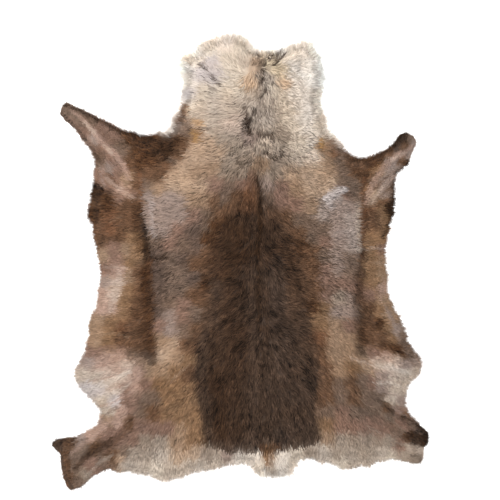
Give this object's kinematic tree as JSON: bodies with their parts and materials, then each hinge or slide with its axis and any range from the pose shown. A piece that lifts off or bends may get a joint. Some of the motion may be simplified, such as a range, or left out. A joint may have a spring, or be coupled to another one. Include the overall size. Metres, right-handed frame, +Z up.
{
  "type": "reindeer hide",
  "caption": "Whole reindeer hide laid flat with the hair side up, with a shaggy pale neck, a dark back, leg skins and a short tail tuft.",
  "frame": {"origin": "middle of the hide's flat underside", "axes": "+Y from the tail to the neck, +X to the right seen from above, +Z up through the hair"},
  "size_m": [1.0346, 1.2478, 0.0634],
  "materials": {
    "coat": "matt animal hair, cream on the neck, dark brown on the back, tan and taupe on the flanks",
    "skin": "pale tanned suede on the underside"
  },
  "bodies": {
    "root": {"reindeer_hide": "coat"}
  },
  "joints": []
}
